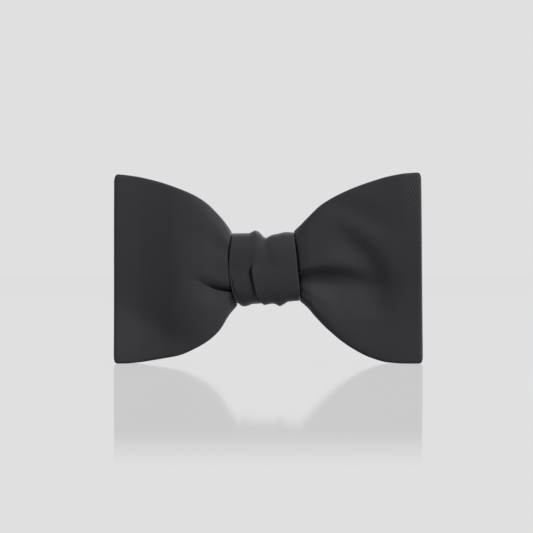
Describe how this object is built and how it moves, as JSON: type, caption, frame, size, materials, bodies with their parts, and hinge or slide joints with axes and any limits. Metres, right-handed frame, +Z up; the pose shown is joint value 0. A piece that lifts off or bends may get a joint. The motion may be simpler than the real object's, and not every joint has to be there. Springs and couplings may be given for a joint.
{
  "type": "pre-tied bow tie",
  "caption": "Bow tie with two flared loop wings gathered into a tucked centre knot, with a collar clip behind.",
  "frame": {"origin": "on the surface that the bow stands on, under the middle of its bounding box", "axes": "+X to the viewer's right along the wings, +Y from the front to the clip behind, +Z up"},
  "size_m": [0.12, 0.0272, 0.0739],
  "materials": {
    "twill": "fine diagonal twill with a soft sheen, charcoal black",
    "clip": "smooth black moulded nylon"
  },
  "bodies": {
    "root": {"left_wing": "twill", "right_wing": "twill", "knot": "twill", "back_clip": "clip"}
  },
  "joints": []
}
